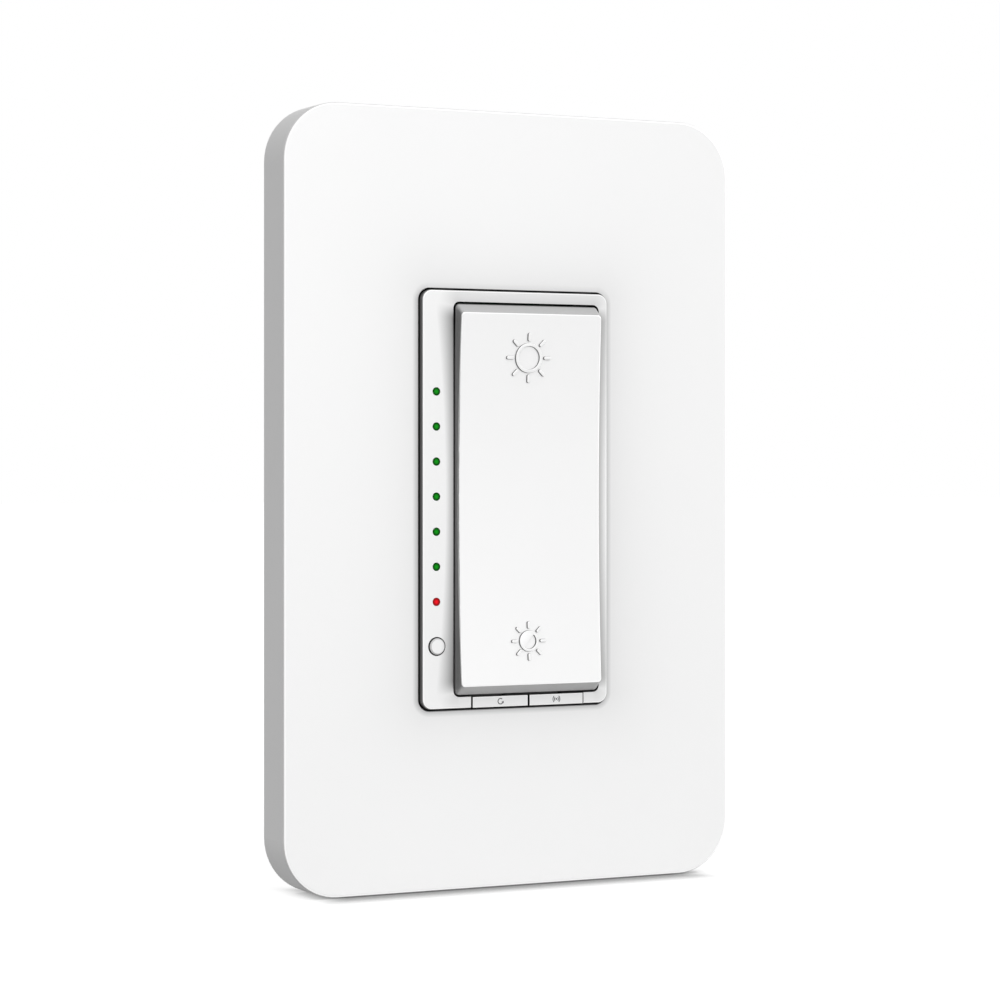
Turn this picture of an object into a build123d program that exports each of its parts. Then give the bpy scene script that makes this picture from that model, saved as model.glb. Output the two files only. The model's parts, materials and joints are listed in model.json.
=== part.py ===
from build123d import *
import os
from math import radians, tan

# A wall dimmer switch with a screwless cover plate, in millimetres.
# X runs to the right as seen from the room, Z runs up, and Y runs into the wall.
# The origin is the middle of the two wall screws, on the wall's surface.

# Screw spacing of a wall box; every height is built out from it, towards the plate and the frame
wall_screw_spacing = 83.3
plate_screw_step = 6.75
housing_end_gap = 8.4

# Cover plate
plate_width = 79.4
plate_end_margin = 13.5
plate_depth = 8.0
plate_corner_radius = 9.1
plate_edge_radius = 0.45
plate_face_thickness = 2.0
plate_wall = 2.0
lip_wall = 1.2
lip_seat = 0.48
rest_rib_wall = 1.0
rest_rib_length = 16.0
pry_slot_width = 10.0
pry_slot_depth = 1.4

# Front frame round the rocker
frame_width = 33.0
frame_corner_radius = 1.6
frame_edge_radius = 0.3
frame_proud = 1.0
frame_face_thickness = 1.5
column_width = 5.35
right_bar = 1.55
end_bar = 1.8
column_outer_wall = 1.1
column_inner_wall = 1.0
column_wall_depth = 3.6
opening_corner_radius = 1.05
channel_corner_radius = 0.5
frame_boss_radius = 2.3
frame_boss_front = 6.0
frame_boss_side = 3.6
frame_boss_end = 2.1
boss_skin = 0.8

# Rocker
rocker_end_rise = 2.2
rocker_middle_rise = 1.0
rocker_bevel = 1.45
rocker_left_lean = 0.1
rocker_right_lean = 0.35
rocker_corner_radius = 0.7
rocker_edge_radius = 0.25
rocker_wall = 1.5
rocker_skirt_end = 7.2
skirt_shoulder = 9.0
skirt_foot = 4.0
skirt_step = 2.0
skirt_board_gap = 0.6
rocker_rib = 1.0
rib_root = 1.0
rocker_travel_degrees = 1.5
pivot_depth = 5.2
pivot_radius = 1.2
pivot_reach = 1.25
bearing_height = 7.2
bearing_board_gap = 0.2
post_radius = 1.5
post_end_margin = 8.95

# Leaf spring under the rocker
spring_left = 5.85
spring_width = 5.0
spring_metal = 0.25
spring_seat = 3.0
spring_arm = 12.0
spring_tip_depth = 7.0
spring_toe = 0.7

# Indicators and round button
pipe_side = 2.38
pipe_top_end = 16.06
pipe_button_step = 7.03
pipe_count = 7
pipe_radius = 0.63
pipe_foot_radius = 0.95
button_side = 2.45
button_end = 9.93
button_radius = 1.3
button_chamfer = 0.2
button_proud = 0.4
button_stem_radius = 1.1
button_collar_width = 2.7
button_collar_height = 5.0
button_collar_offset = 0.2
button_collar_thickness = 0.8
button_collar_radius = 0.4

# Keys in the bottom bar
keys_left_margin = 3.1
keys_right_margin = 2.8
keys_split_shift = 0.18
key_slit = 0.3
key_thickness = 1.6
key_edge_radius = 0.15
key_stem_width = 3.6
key_stem_thickness = 1.1
key_foot_thickness = 1.0
key_foot_overlap = 1.0
key_travel = 0.25
key_switch_end = 2.4
stem_end_room = 0.6

# Yoke
yoke_thickness = 1.5
yoke_side_margin = 0.3
yoke_body_margin = 2.25
yoke_end_margin = 4.5
yoke_ear_width = 26.0
yoke_corner_radius = 3.0
plaster_ear_radius = 5.6
plaster_ear_x = 16.6
plaster_ear_drop = 1.8
plaster_ear_hole = 1.6
wall_slot_length = 6.6
ground_tab_width = 9.0
ground_tab_reach = 10.0
ground_tab_x = 13.5

# Mounting frame under the cover plate
mounting_web = 1.8
mounting_rim = 1.4
catch_length = 9.0
catch_reach = 0.7
catch_height = 0.9
catch_end_margin = 23.5
catch_side_margin = 18.3

# Screws
six_thirty_two_radius = 1.75
neck_radius = 1.45
wall_screw_length = 22.0
wall_screw_head_radius = 3.2
wall_screw_head_height = 2.0
wall_screw_head_chamfer = 0.6
plate_screw_head_radius = 3.0
plate_screw_head_depth = 1.44
plate_screw_length = 7.0
retainer_width = 9.0
retainer_thickness = 0.4
housing_screw_radius = 1.3
housing_screw_head_radius = 2.4
housing_screw_head_height = 1.8
housing_screw_tip_gap = 0.5
terminal_screw_head_radius = 3.3
terminal_screw_head_height = 2.0
terminal_screw_length = 6.0
ground_screw_radius = 2.05
ground_screw_head_radius = 3.6
ground_screw_head_height = 2.2
ground_screw_tip = 0.2
transistor_screw_radius = 1.5
transistor_screw_head_radius = 2.7
transistor_screw_head_height = 2.2
transistor_screw_chamfer = 0.6
driver_slot = 1.0
driver_slot_depth = 0.9
cross_slot = 0.7
cross_slot_length = 2.8

# Rear housing
housing_width = 43.0
housing_depth = 33.0
housing_end_margin = 4.05
housing_corner_radius = 2.5
housing_inner_radius = 1.0
housing_wall = 1.8
housing_draft_degrees = 1.0
housing_back_chamfer = 1.0
post_wall = 1.6
post_bore_depth = 13.0
floor_rib_length = 24.0
floor_rib_wall = 1.2
floor_rib_margin = 6.95

# Terminals
terminal_z = 13.0
pocket_wall = 1.2
pocket_depth = 6.9
pocket_height = 9.2
pocket_board_gap = 0.2
plate_square = 8.2
terminal_metal = 1.0
clamp_chamfer = 0.8
wire_gap = 2.0
wire_offset = 2.9
wire_hole_radius = 1.25
tongue_width = 3.0

# Boards and what is on the control board
insulator_thickness = 0.3
control_board_thickness = 1.2
power_board_thickness = 1.6
power_board_from_back = 14.0
board_notch_room = 0.2
switch_width = 3.0
switch_length = 4.0
switch_height = 1.5
switch_chamfer = 0.3
button_switch_offset = 0.3
plunger_radius = 0.75
plunger_height = 0.5
plunger_chamfer = 0.12
well_room = 0.1
led_width = 1.6
led_depth = 0.8
led_height = 0.8
radio_width = 12.0
radio_height = 15.0
radio_board_thickness = 0.8
radio_skirt_gap = 0.55
radio_switch_gap = 2.0
radio_contact_radius = 0.4
radio_contact_pitch = 2.6
radio_contact_count = 5
shield_height = 1.6
shield_metal = 0.2
shield_side_margin = 0.7
shield_low_margin = 0.4
shield_aerial_margin = 4.2
shield_corner_radius = 0.6
shield_chamfer = 0.3
chip_square = 7.0
chip_height = 0.9
chip_radio_gap = 2.0
chip_chamfer = 0.15
link_pin = 0.64
link_pitch = 2.0
link_count = 8
link_choke_gap = 3.8
link_strip_width = 17.0
link_strip_height = 2.4
link_strip_back = 1.2
link_corner_radius = 0.5

# Power transistors on the yoke's back
transistor_x = 10.5
transistor_low = 2.4
transistor_width = 10.0
transistor_body_height = 9.0
transistor_tab_height = 6.0
transistor_thickness = 4.4
transistor_tab = 1.3
transistor_chamfer = 0.6
transistor_hole_drop = 2.8
leg_width = 0.8
leg_metal = 0.6
leg_pitch = 2.54
leg_drop = 3.0
leg_y = 2.0

# Power board's parts
part_wall_gap = 1.0
film_width = 7.0
film_length = 17.0
film_height = 13.0
film_top = -1.5
film_edge_radius = 0.8
can_radius = 4.6
can_height = 13.0
can_z = 12.0
can_chamfer = 0.5
can_groove_depth = 0.4
can_groove_width = 0.8
can_groove_height = 2.0
choke_inner = 4.2
choke_outer = 7.4
choke_height = 6.0
choke_leg_gap = 0.6
choke_wire = 1.0
choke_open = 5.0
fuse_length = 8.0
fuse_radius = 1.7
fuse_cap_radius = 2.0
fuse_cap_length = 1.8
fuse_z = 8.0
disc_radius = 4.5
disc_thickness = 3.2
disc_chamfer = 0.8
disc_z = -6.0
disc_height = 5.8
disc_lead = 0.6
disc_lead_pitch = 4.0

# Clearances
plate_opening_clearance = 0.33
plate_inside_clearance = 0.4
rocker_side_clearance = 0.3
rocker_end_clearance = 0.35
pivot_clearance = 0.05
key_clearance = 0.1
touch_clearance = 0.05
button_clearance = 0.2
pipe_clearance = 0.04
board_clearance = 0.1
thread_clearance = 0.03
screw_clearance = 0.3
slot_clearance = 0.2

# Heights, counted from the middle, out from the wall screws and in to the frame
wall_screw_z = wall_screw_spacing / 2
plate_screw_z = wall_screw_z + plate_screw_step
plate_height = 2 * (plate_screw_z + plate_end_margin)
yoke_length = 2 * (plate_screw_z + yoke_end_margin)
plaster_ear_z = plate_screw_z - plaster_ear_drop
housing_height = 2 * (wall_screw_z - housing_end_gap)
yoke_body_height = housing_height + 2 * yoke_body_margin
housing_screw_z = housing_height / 2 - housing_end_margin
opening_half = housing_screw_z + frame_boss_end
frame_height = 2 * (opening_half + end_bar)
rocker_half = opening_half - rocker_end_clearance
post_height = rocker_half - post_end_margin
key_switch_z = key_switch_end - opening_half
button_z = button_end - frame_height / 2
pipe_top = frame_height / 2 - pipe_top_end
pipe_bottom = button_z + pipe_button_step

# Widths, counted from the middle
yoke_width = housing_width + 2 * yoke_side_margin
housing_inside_width = housing_width - 2 * housing_wall
housing_inside_height = housing_height - 2 * housing_wall
housing_screw_x = frame_width / 2 - frame_boss_side
pipe_x = pipe_side - frame_width / 2
button_x = button_side - frame_width / 2
opening_left = column_width - frame_width / 2
opening_right = frame_width / 2 - right_bar
rocker_left = opening_left + rocker_side_clearance
rocker_right = opening_right - rocker_side_clearance
rocker_x = (rocker_left + rocker_right) / 2
spring_x = rocker_left + spring_left
column_channel_left = column_outer_wall - frame_width / 2
column_channel_right = opening_left - column_inner_wall
keys_left = opening_left + keys_left_margin
keys_right = opening_right - keys_right_margin
keys_split = (keys_left + keys_right) / 2 + keys_split_shift
reset_key_x = (keys_left + keys_split) / 2
pair_key_x = (keys_split + keys_right) / 2
mounting_width = plate_width - 2 * (plate_wall + plate_inside_clearance)
mounting_height = plate_height - 2 * (plate_wall + plate_inside_clearance)
mounting_corner = plate_corner_radius - plate_wall - plate_inside_clearance

# Levels, counted along Y from the wall
yoke_front = -yoke_thickness
insulator_front = yoke_front - insulator_thickness
control_front = insulator_front - control_board_thickness
led_top = control_front - led_height
switch_top = control_front - switch_height
plunger_tip = switch_top - plunger_height
mounting_front = yoke_front - mounting_web
plate_front = -plate_depth
plate_inner_face = plate_front + plate_face_thickness
frame_front = plate_front - frame_proud
frame_face_back = frame_front + frame_face_thickness
pivot_y = -pivot_depth
spring_tip = -spring_tip_depth
post_drop = (post_height + post_radius) * tan(radians(rocker_travel_degrees))
key_back = frame_front + key_thickness
power_board_front = housing_depth - power_board_from_back
power_board_back = power_board_front + power_board_thickness
housing_floor = housing_depth - housing_wall
post_outer = housing_screw_head_radius + screw_clearance + post_wall

# Terminal pockets, counted from the middle along X and from the wall along Y
pocket_floor = housing_width / 2 - pocket_depth
plate_face = pocket_floor + terminal_metal
clamp_face = plate_face + wire_gap
head_face = clamp_face + terminal_metal
pocket_front = power_board_back + pocket_board_gap
terminal_y = (pocket_front + pocket_wall + housing_floor) / 2

# Places of the parts on the two boards
radio_x = rocker_right - rocker_wall - radio_skirt_gap - radio_width / 2
radio_bottom = switch_width / 2 + radio_switch_gap - post_height
radio_top = radio_bottom + radio_height
radio_z = (radio_bottom + radio_top) / 2
transistor_body_top = transistor_low + transistor_body_height
transistor_top = transistor_body_top + transistor_tab_height
transistor_screw_z = transistor_top - transistor_hole_drop
film_left = part_wall_gap - housing_inside_width / 2
film_right = film_left + film_width
disc_right = housing_inside_width / 2 - part_wall_gap
disc_left = disc_right - disc_thickness
choke_x = (film_right + disc_left) / 2
choke_z = transistor_low - leg_drop - choke_leg_gap - choke_outer - choke_wire
choke_back = power_board_front - choke_wire
choke_front = choke_back - choke_height
link_z = choke_z - choke_outer - choke_wire - link_choke_gap

corner_screws = [
    (side * housing_screw_x, end * housing_screw_z) for side in (-1, 1) for end in (-1, 1)
]
wall_screws = [(0, end * wall_screw_z) for end in (-1, 1)]
plate_screws = [(0, end * plate_screw_z) for end in (-1, 1)]
transistor_screws = [(side * transistor_x, transistor_screw_z) for side in (-1, 1)]

# Name, X, Z, and size along X of the five switches on the control board
switches = {
    "upper": (rocker_x, post_height, switch_length),
    "lower": (rocker_x, -post_height, switch_length),
    "button": (button_x + button_switch_offset, button_z, switch_width),
    "reset": (reset_key_x, key_switch_z, switch_length),
    "pair": (pair_key_x, key_switch_z, switch_length),
}


def slab(outline, back, front):
    """Solid of an outline drawn in X and Z, from Y = back forward to Y = front."""
    plane = Plane((0, back, 0), x_dir=(1, 0, 0), z_dir=(0, -1, 0))
    return extrude(plane * outline, amount=back - front)


def block(x_range, y_range, z_range):
    """Rectangular solid between two values along each axis."""
    ranges = (x_range, y_range, z_range)
    size = [abs(high - low) for low, high in ranges]
    middle = [(low + high) / 2 for low, high in ranges]
    return Pos(*middle) * Box(*size)


def rod(x, z, radius, back, front):
    """Round solid along Y."""
    return slab(Pos(x, z) * Circle(radius), back, front)


def cross_rod(x_range, y, z, radius):
    """Round solid along X."""
    low, high = sorted(x_range)
    return Pos((low + high) / 2, y, z) * Rot(0, 90, 0) * Cylinder(radius, high - low)


def cross_slab(outline, x_range):
    """Solid of an outline drawn in Y and Z, between two values of X."""
    low, high = sorted(x_range)
    return Pos((low + high) / 2, 0, 0) * extrude(outline, amount=(high - low) / 2, both=True)


def span(middle, width):
    return (middle - width / 2, middle + width / 2)


def ring(width, height, radius, wall):
    """Rectangular ring with rounded corners, whose outside is width by height."""
    inside = RectangleRounded(width - 2 * wall, height - 2 * wall, radius - wall)
    return RectangleRounded(width, height, radius) - inside


def front_edges(solid, y):
    """The edges of a solid that lie on the plane Y = y."""
    return solid.edges().filter_by_position(Axis.Y, y - 0.001, y + 0.001)


def opening_outline(margin=0.0):
    """The rocker's opening, or a rectangle that stands back from it by margin."""
    width = opening_right - opening_left - 2 * margin
    height = 2 * (opening_half - margin)
    return Pos(rocker_x, 0) * RectangleRounded(width, height, opening_corner_radius - margin)


def outward(value):
    """The side that a place lies on, as 1 or -1."""
    return value / abs(value)


def catch_places():
    """X and Z of each catch of the mounting frame, and whether it is on a long side."""
    long_side = mounting_width / 2
    short_side = mounting_height / 2
    far_z = short_side - catch_end_margin
    far_x = long_side - catch_side_margin
    places = [(side * long_side, z, True) for side in (-1, 1) for z in (-far_z, 0, far_z)]
    places += [(x, end * short_side, False) for end in (-1, 1) for x in (-far_x, far_x)]
    return places


def catch_solid(place, grow):
    """One catch lug on the mounting frame's edge, or its pocket in the cover when it grows."""
    x, z, on_long_side = place
    reach = 2 * (catch_reach + grow)
    length = catch_length + 2 * grow
    low = yoke_front - catch_height - grow
    high = yoke_front + grow
    if on_long_side:
        return block(span(x, reach), (low, high), span(z, length))
    return block(span(x, length), (low, high), span(z, reach))


def make_wall_plate():
    shell = slab(RectangleRounded(plate_width, plate_height, plate_corner_radius), 0, plate_front)
    shell = fillet(front_edges(shell, plate_front), plate_edge_radius)
    inside_width = plate_width - 2 * plate_wall
    inside_height = plate_height - 2 * plate_wall
    inside_radius = plate_corner_radius - plate_wall
    shell -= slab(RectangleRounded(inside_width, inside_height, inside_radius), 0, plate_inner_face)
    window_width = frame_width + 2 * plate_opening_clearance
    window_height = frame_height + 2 * plate_opening_clearance
    window_radius = frame_corner_radius + plate_opening_clearance
    lip_width = window_width + 2 * lip_wall
    lip_height = window_height + 2 * lip_wall
    lip = ring(lip_width, lip_height, window_radius + lip_wall, lip_wall)
    shell += slab(lip, mounting_front, plate_inner_face)
    shell -= slab(RectangleRounded(window_width, window_height, window_radius), 0, plate_front)
    for side in (-1, 1):
        for end in (-1, 1):
            x = side * (inside_width / 2 - inside_radius)
            z = end * (inside_height / 2 - inside_radius)
            rib_depth = (mounting_front, plate_inner_face)
            shell += block(span(x, rest_rib_wall), rib_depth, span(z, rest_rib_length))
    for place in catch_places():
        shell -= catch_solid(place, plate_inside_clearance / 2)
    pry_slot_z = span(plate_wall / 2 - plate_height / 2, 2 * plate_wall)
    return shell - block(span(0, pry_slot_width), (-pry_slot_depth, 0), pry_slot_z)


def make_mounting_frame():
    outline = RectangleRounded(mounting_width, mounting_height, mounting_corner)
    body = slab(outline, yoke_front, mounting_front)
    body += slab(ring(mounting_width, mounting_height, mounting_corner, mounting_rim), 0, yoke_front)
    margin = plate_opening_clearance + lip_wall - lip_seat
    window_width = frame_width + 2 * margin
    window_height = frame_height + 2 * margin
    window = RectangleRounded(window_width, window_height, frame_corner_radius + margin)
    body -= slab(window, yoke_front, mounting_front)
    for x, z in wall_screws:
        head_radius = wall_screw_head_radius + screw_clearance
        body -= rod(x, z, head_radius, yoke_front, mounting_front)
        to_window = (z, outward(z) * frame_height / 2)
        body -= block(span(x, 2 * head_radius), (mounting_front, yoke_front), to_window)
    for x, z in plate_screws:
        body -= rod(x, z, six_thirty_two_radius + screw_clearance, yoke_front, mounting_front)
        body -= plate_screw_head(z, thread_clearance)
    for place in catch_places():
        body += catch_solid(place, 0)
    return body


def plate_screw_head(z, grow):
    """The cone under a plate screw's flat head."""
    cone = Cone(plate_screw_head_radius + grow, six_thirty_two_radius + grow, plate_screw_head_depth)
    return Pos(0, mounting_front + plate_screw_head_depth / 2, z) * Rot(-90, 0, 0) * cone


def make_plate_screws():
    screws = []
    for x, z in plate_screws:
        slot_floor = mounting_front + driver_slot_depth
        shank = rod(x, z, six_thirty_two_radius, mounting_front + plate_screw_length, slot_floor)
        screw = plate_screw_head(z, 0) + shank
        slot_width = span(x, 2 * plate_screw_head_radius)
        screw -= block(slot_width, (mounting_front, slot_floor), span(z, driver_slot))
        screws.append(screw)
    return screws


def make_front_frame():
    outline = RectangleRounded(frame_width, frame_height, frame_corner_radius)
    body = slab(outline, yoke_front, frame_front)
    body = fillet(front_edges(body, frame_front), frame_edge_radius)
    body -= slab(opening_outline(), yoke_front, frame_front)
    channel_width = column_channel_right - column_channel_left
    channel_x = (column_channel_right + column_channel_left) / 2
    channel = RectangleRounded(channel_width, 2 * opening_half, channel_corner_radius)
    body -= slab(Pos(channel_x, 0) * channel, yoke_front, frame_face_back)
    below_wall = frame_face_back + column_wall_depth
    body -= block((channel_x, rocker_x), (below_wall, yoke_front), span(0, 2 * opening_half))
    bearing_depth = (below_wall, control_front - bearing_board_gap)
    body += block((column_channel_right, opening_left), bearing_depth, span(0, bearing_height))
    for x, z in corner_screws:
        wall = column_channel_left if x < 0 else opening_right
        depth = (-frame_boss_front, yoke_front)
        boss = rod(x, z, frame_boss_radius, yoke_front, -frame_boss_front)
        boss += block((x, wall), depth, span(z, frame_boss_radius))
        boss += block(span(x, frame_boss_radius), depth, (z, outward(z) * opening_half))
        body += boss
        bore_end = boss_skin - frame_boss_front
        body -= rod(x, z, housing_screw_radius + thread_clearance, yoke_front, bore_end)
    bearing_radius = pivot_radius + pivot_clearance
    body -= cross_rod((column_channel_right, opening_left), pivot_y, 0, bearing_radius)
    body -= cross_rod((opening_right, frame_width / 2), pivot_y, 0, bearing_radius)
    for z in pipe_places():
        body -= rod(pipe_x, z, pipe_radius + pipe_clearance, frame_face_back, frame_front)
    body -= rod(button_x, button_z, button_radius + button_clearance, frame_face_back, frame_front)
    notch_back = key_back + key_travel + key_clearance
    notch_depth = (frame_front, notch_back)
    body -= block((keys_left, keys_right), notch_depth, (-opening_half, -frame_height / 2))
    slot_depth = (notch_back, plunger_tip + key_travel + stem_end_room)
    slot_bottom = -opening_half - key_stem_thickness - 3 * key_clearance
    for x in (reset_key_x, pair_key_x):
        stem = key_stem_width + 2 * key_clearance
        body -= block(span(x, stem), slot_depth, (slot_bottom, -opening_half))
    return body


def pipe_places():
    """Heights of the indicators, evenly spread from the top one to the bottom one."""
    pitch = (pipe_top - pipe_bottom) / (pipe_count - 1)
    return [pipe_top - step * pitch for step in range(pipe_count)]


def rocker_profile(inset):
    """Side view of the rocker in Y and Z: a hollow face, bevelled ends and a skirt, deepest at the pivot."""
    face_half = rocker_half - rocker_bevel - inset
    end = frame_front - rocker_end_rise + inset
    middle = frame_front - rocker_middle_rise + inset
    half = rocker_half - inset
    skirt = rocker_skirt_points(half) if inset == 0 else [(0, half), (0, -half)]
    face = ThreePointArc((end, -face_half), (middle, 0), (end, face_half))
    top_end = [(end, face_half), (frame_front, half)]
    bottom_end = [(frame_front, -half), (end, -face_half)]
    return make_face(Plane.YZ * (face + Polyline(top_end + skirt + bottom_end)))


def rocker_skirt_points(half):
    """The skirt's lower edge, from the top end to the bottom end."""
    deep = control_front - skirt_board_gap
    points = [(-rocker_skirt_end, half), (deep - skirt_step, skirt_shoulder), (deep, skirt_foot)]
    return points + [(y, -z) for y, z in reversed(points)]


def rocker_outline(left, right, half, y):
    """Rounded outline of the rocker, on the plane Y = y."""
    plane = Plane((0, y, 0), x_dir=(1, 0, 0), z_dir=(0, -1, 0))
    return plane * Pos((left + right) / 2, 0) * RectangleRounded(right - left, 2 * half, rocker_corner_radius)


def make_rocker():
    foot = rocker_outline(rocker_left, rocker_right, rocker_half, frame_front)
    top_left = rocker_left + rocker_left_lean
    top_right = rocker_right - rocker_right_lean
    top = rocker_outline(top_left, top_right, rocker_half - rocker_bevel, frame_front - rocker_end_rise)
    body = loft([foot, top], ruled=True) + extrude(foot, amount=frame_front)
    body = body & cross_slab(rocker_profile(0), (-frame_width / 2, frame_width / 2))
    rim = body.faces().filter_by(GeomType.CYLINDER).sort_by(Axis.Y)[0].edges()
    body = fillet(rim, rocker_edge_radius)
    hollow = (rocker_left + rocker_wall, rocker_right - rocker_wall)
    body -= cross_slab(rocker_profile(rocker_wall), hollow)
    inner = frame_front - rocker_middle_rise + rocker_wall
    walls = (rocker_left + rocker_wall / 2, rocker_right - rocker_wall / 2)
    for end in (-1, 1):
        for z in (end * spring_arm, end * post_height):
            body += block(walls, (inner - rib_root, spring_tip), span(z, rocker_rib))
        post_tip = plunger_tip - post_drop - touch_clearance
        body += rod(rocker_x, end * post_height, post_radius, post_tip, inner - rib_root / 2)
    body += cross_rod((rocker_left, rocker_left - pivot_reach), pivot_y, 0, pivot_radius)
    body += cross_rod((rocker_right, rocker_right + pivot_reach), pivot_y, 0, pivot_radius)
    return body


def make_rocker_spring():
    """A strip with its seat on the board and two arms that bear on the rocker's inner ribs."""
    back = [
        (control_front, spring_seat),
        (spring_tip + spring_metal, spring_arm - spring_toe),
        (spring_tip + spring_metal, spring_arm + spring_toe),
    ]
    front = [
        (spring_tip, spring_arm + spring_toe),
        (spring_tip, spring_arm - spring_toe - spring_metal / 2),
        (control_front - spring_metal, spring_seat - spring_metal / 2),
    ]
    upper = back + front
    lower = [(y, -z) for y, z in reversed(upper)]
    strip = make_face(Plane.YZ * Polyline(upper + lower, close=True))
    return cross_slab(strip, span(spring_x, spring_width))


def make_round_button():
    cap_back = frame_face_back + touch_clearance
    cap = rod(button_x, button_z, button_radius, cap_back, frame_front - button_proud)
    cap = chamfer(front_edges(cap, frame_front - button_proud), button_chamfer)
    collar = RectangleRounded(button_collar_width, button_collar_height, button_collar_radius)
    collar_back = cap_back + button_collar_thickness
    body = cap + slab(Pos(button_x + button_collar_offset, button_z) * collar, collar_back, cap_back)
    return body + rod(button_x, button_z, button_stem_radius, plunger_tip - touch_clearance, collar_back)


def make_key(left, right, middle):
    """A flat key flush with the frame, with a stem and a foot that reaches back under the rocker."""
    top = -opening_half - touch_clearance
    low = -frame_height / 2
    body = block((left, right), (frame_front, key_back), (low, top))
    body = fillet(front_edges(body, frame_front), key_edge_radius)
    stem_low = top - key_clearance - key_stem_thickness
    stem_range = (stem_low, top - key_clearance)
    tip = plunger_tip - touch_clearance
    body += block(span(middle, key_stem_width), (key_back, tip), stem_range)
    foot_z = (stem_low, key_switch_z + key_foot_overlap)
    return body + block(span(middle, key_stem_width), (tip - key_foot_thickness, tip), foot_z)


def make_switch(x, z, width):
    """A low surface-mounted tact switch, with a round well that its plunger sinks into."""
    length = switch_width if width == switch_length else switch_length
    body = block(span(x, width), (switch_top, control_front), span(z, length))
    body = chamfer(body.edges().filter_by(Axis.Y), switch_chamfer)
    well_floor = switch_top + key_travel + well_room
    return body - rod(x, z, plunger_radius + touch_clearance, well_floor, switch_top)


def make_plunger(x, z):
    body = rod(x, z, plunger_radius, switch_top, plunger_tip)
    return chamfer(front_edges(body, plunger_tip), plunger_chamfer)


def make_light_pipe(z):
    """A clear pipe, thin in the frame's hole and thick behind it, down to its indicator light."""
    tip = rod(pipe_x, z, pipe_radius, frame_face_back, frame_front)
    return tip + rod(pipe_x, z, pipe_foot_radius, led_top, frame_face_back)


def make_indicator_leds():
    depth = (led_top, control_front)
    return [block(span(pipe_x, led_depth), depth, span(z, led_width)) for z in pipe_places()]


def board_outline(margin):
    """The control board: it fills the front frame's inside and steps round the four screw bosses."""
    left = column_channel_left + margin
    right = opening_right - margin
    half = opening_half - margin
    outline = Pos((left + right) / 2, 0) * Rectangle(right - left, 2 * half)
    notch = frame_boss_radius + margin + board_notch_room
    for x, z in corner_screws:
        far_x = outward(x) * frame_width / 2
        far_z = outward(z) * frame_height / 2
        near_x = x - outward(x) * notch
        near_z = z - outward(z) * notch
        cut = Rectangle(abs(far_x - near_x), abs(far_z - near_z))
        outline -= Pos((far_x + near_x) / 2, (far_z + near_z) / 2) * cut
    return outline


def link_slot(margin):
    """Outline of the strip that carries the link pins, or of the slot round it."""
    width = link_strip_width + 2 * margin
    height = link_strip_height + 2 * margin
    return Pos(0, link_z) * RectangleRounded(width, height, link_corner_radius)


def make_control_board():
    return slab(board_outline(board_clearance), insulator_front, control_front)


def make_insulator_sheet():
    sheet = board_outline(2 * board_clearance) - link_slot(board_clearance)
    return slab(sheet, yoke_front, insulator_front)


def make_radio_module():
    """The radio's own small board, with half-round contacts along two edges."""
    outline = Pos(radio_x, radio_z) * Rectangle(radio_width, radio_height)
    for side in (-1, 1):
        for step in range(radio_contact_count):
            z = radio_z + radio_contact_pitch * (step - (radio_contact_count - 1) / 2)
            outline -= Pos(radio_x + side * radio_width / 2, z) * Circle(radio_contact_radius)
    return slab(outline, control_front, control_front - radio_board_thickness)


def make_radio_shield():
    """The pressed lid over the radio's parts, with a bare strip left for its aerial."""
    back = control_front - radio_board_thickness
    front = back - shield_height
    lid_width = radio_width - 2 * shield_side_margin
    lid_bottom = radio_bottom + shield_low_margin
    lid_top = radio_top - shield_aerial_margin
    lid_height = lid_top - lid_bottom
    middle = Pos(radio_x, (lid_bottom + lid_top) / 2)
    lid = slab(middle * RectangleRounded(lid_width, lid_height, shield_corner_radius), back, front)
    lid = chamfer(front_edges(lid, front), shield_chamfer)
    inside = middle * Rectangle(lid_width - 2 * shield_metal, lid_height - 2 * shield_metal)
    return lid - slab(inside, back, front + shield_metal)


def make_control_chip():
    top = control_front - chip_height
    chip_z = radio_top + chip_radio_gap + chip_square / 2
    chip = block(span(radio_x, chip_square), (top, control_front), span(chip_z, chip_square))
    return chamfer(front_edges(chip, top), chip_chamfer)


def make_yoke():
    outline = RectangleRounded(yoke_width, yoke_body_height, yoke_corner_radius)
    outline += RectangleRounded(yoke_ear_width, yoke_length, yoke_corner_radius)
    for side in (-1, 1):
        for end in (-1, 1):
            place = Pos(side * plaster_ear_x, end * plaster_ear_z)
            outline += place * Circle(plaster_ear_radius)
            outline -= place * Circle(plaster_ear_hole)
    for x, z in wall_screws:
        outline -= Pos(x, z) * SlotOverall(wall_slot_length, 2 * (neck_radius + screw_clearance))
    for x, z in plate_screws:
        outline -= Pos(x, z) * Circle(six_thirty_two_radius + thread_clearance)
    for x, z in corner_screws:
        outline -= Pos(x, z) * Circle(housing_screw_radius + screw_clearance)
    for x, z in transistor_screws:
        outline -= Pos(x, z) * Circle(transistor_screw_radius + thread_clearance)
    outline -= link_slot(slot_clearance)
    body = slab(outline, 0, yoke_front)
    low = -yoke_body_height / 2
    tab_z = (low, low + yoke_thickness)
    body += block(span(ground_tab_x, ground_tab_width), (yoke_front, ground_tab_reach), tab_z)
    hole = Cylinder(ground_screw_radius + thread_clearance, 4 * yoke_thickness)
    return body - Pos(ground_tab_x, ground_tab_reach / 2, low) * hole


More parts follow.
